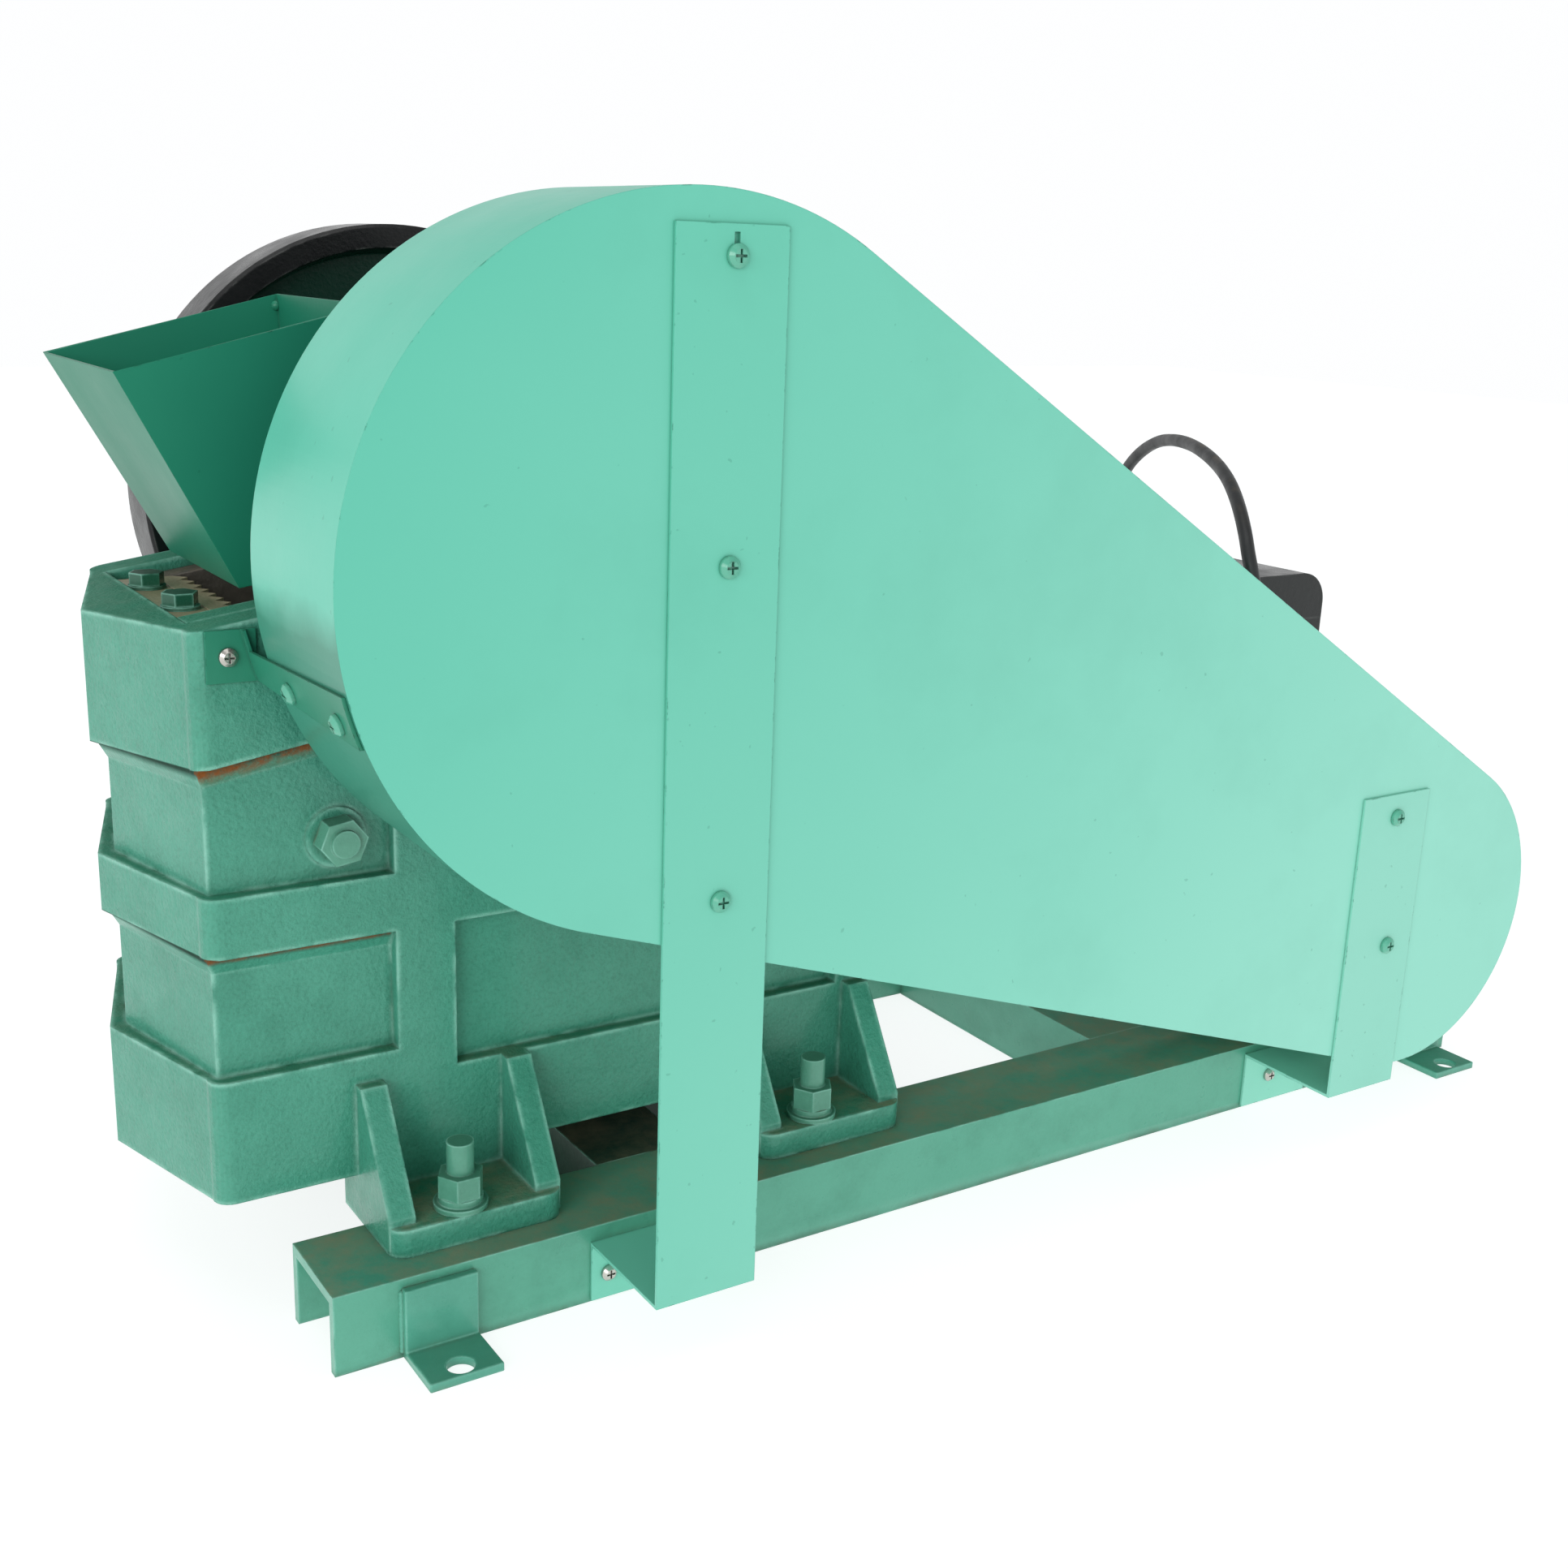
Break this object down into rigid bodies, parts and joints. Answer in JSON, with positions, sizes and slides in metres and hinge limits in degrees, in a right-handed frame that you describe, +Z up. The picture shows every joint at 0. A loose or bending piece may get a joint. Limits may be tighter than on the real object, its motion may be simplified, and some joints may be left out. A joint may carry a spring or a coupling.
{
  "type": "laboratory jaw crusher",
  "caption": "Small belt-driven jaw crusher for rock and hard samples: cast body with feed hopper, eccentric jaw, flywheels, guard and motor on a channel base.",
  "frame": {"origin": "on the floor, at the centre of the four foundation holes", "axes": "+X along the rails from the feed end to the motor, +Y from the belt guard to the balance flywheel, +Z up"},
  "size_m": [0.75, 0.5352, 0.475],
  "materials": {
    "green_paint": "semi-gloss, worn at casting edges, dusty on top faces",
    "dark_green_paint": "gloss",
    "mint_paint": "smooth satin on sheet metal",
    "raw_iron": "raw, dusty",
    "steel": "machined",
    "black_paint": "gloss, worn",
    "black_plastic": "matt",
    "black_rubber": "smooth rubber sheath",
    "copper_winding": "varnished"
  },
  "bodies": {
    "frame": {"rail_near": "green_paint", "rail_far": "green_paint", "cross_member_body": "green_paint", "cross_member_motor_front": "green_paint", "cross_member_motor_rear": "green_paint", "foot_tabs": "green_paint", "crusher_body": "green_paint", "body_bolts": "green_paint", "fixed_jaw_plate": "raw_iron", "jaw_clamp_bar": "raw_iron", "clamp_bolts": "dark_green_paint", "cheek_plate_near": "green_paint", "cheek_plate_far": "raw_iron", "cheek_bolts": "green_paint", "main_outer_rings": "steel", "bearing_cover_near": "green_paint", "bearing_cover_far": "green_paint", "hex_screws": "steel", "toggle_seat_rear": "raw_iron", "adjusting_wedge": "raw_iron", "adjusting_bolt": "steel", "motor_frame": "mint_paint", "motor_stator": "copper_winding", "drive_end_shield": "mint_paint", "rear_end_shield": "mint_paint", "fan_cowl": "mint_paint", "terminal_box": "black_paint", "terminal_box_lid": "black_paint", "motor_bearings": "steel", "cable_gland": "black_plastic", "motor_bolts": "steel", "v_belts": "black_rubber", "belt_guard": "mint_paint", "guard_strap_front": "mint_paint", "guard_strap_rear": "mint_paint", "guard_bracket": "mint_paint", "painted_pan_screws": "mint_paint", "bright_pan_screws": "steel", "feed_hopper": "green_paint", "power_cord": "black_rubber", "cord_coil": "black_rubber", "cord_plug": "black_rubber"},
    "shaft": {"eccentric_shaft": "steel", "bearing_inner_rings": "steel", "drive_flywheel": "black_paint", "balance_flywheel": "black_paint", "shaft_keys": "steel", "shaft_nuts": "steel"},
    "jaw": {"moving_jaw": "green_paint", "moving_jaw_plate": "raw_iron", "jaw_plate_bolts": "raw_iron", "jaw_outer_rings": "steel", "toggle_seat_front": "raw_iron", "tension_rod": "steel", "tension_spring": "steel", "tension_nuts": "steel"},
    "toggle": {"toggle_plate": "raw_iron"},
    "rotor": {"rotor_shaft": "steel", "motor_pulley": "raw_iron", "cooling_fan": "black_plastic"}
  },
  "joints": [
    {"name": "shaft_spin", "type": "hinge", "parent": "frame", "child": "shaft", "pos_m": [-0.2295, 0, 0.334], "axis": [0, 1, 0], "continuous": true},
    {"name": "jaw_swing", "type": "hinge", "parent": "shaft", "child": "jaw", "pos_m": [-0.2275, 0, 0.334], "axis": [0, 1, 0], "continuous": true},
    {"name": "toggle_swing", "type": "hinge", "parent": "frame", "child": "toggle", "pos_m": [-0.14, 0, 0.124], "axis": [0, 1, 0], "range_deg": [-1, 1]},
    {"name": "rotor_spin", "type": "hinge", "parent": "frame", "child": "rotor", "pos_m": [0.223, 0, 0.127], "axis": [0, 1, 0], "continuous": true}
  ],
  "couplings": [
    {"joint": "jaw_swing", "follows": "shaft_spin", "ratio": -1},
    {"joint": "rotor_spin", "follows": "shaft_spin", "ratio": 2.42}
  ]
}
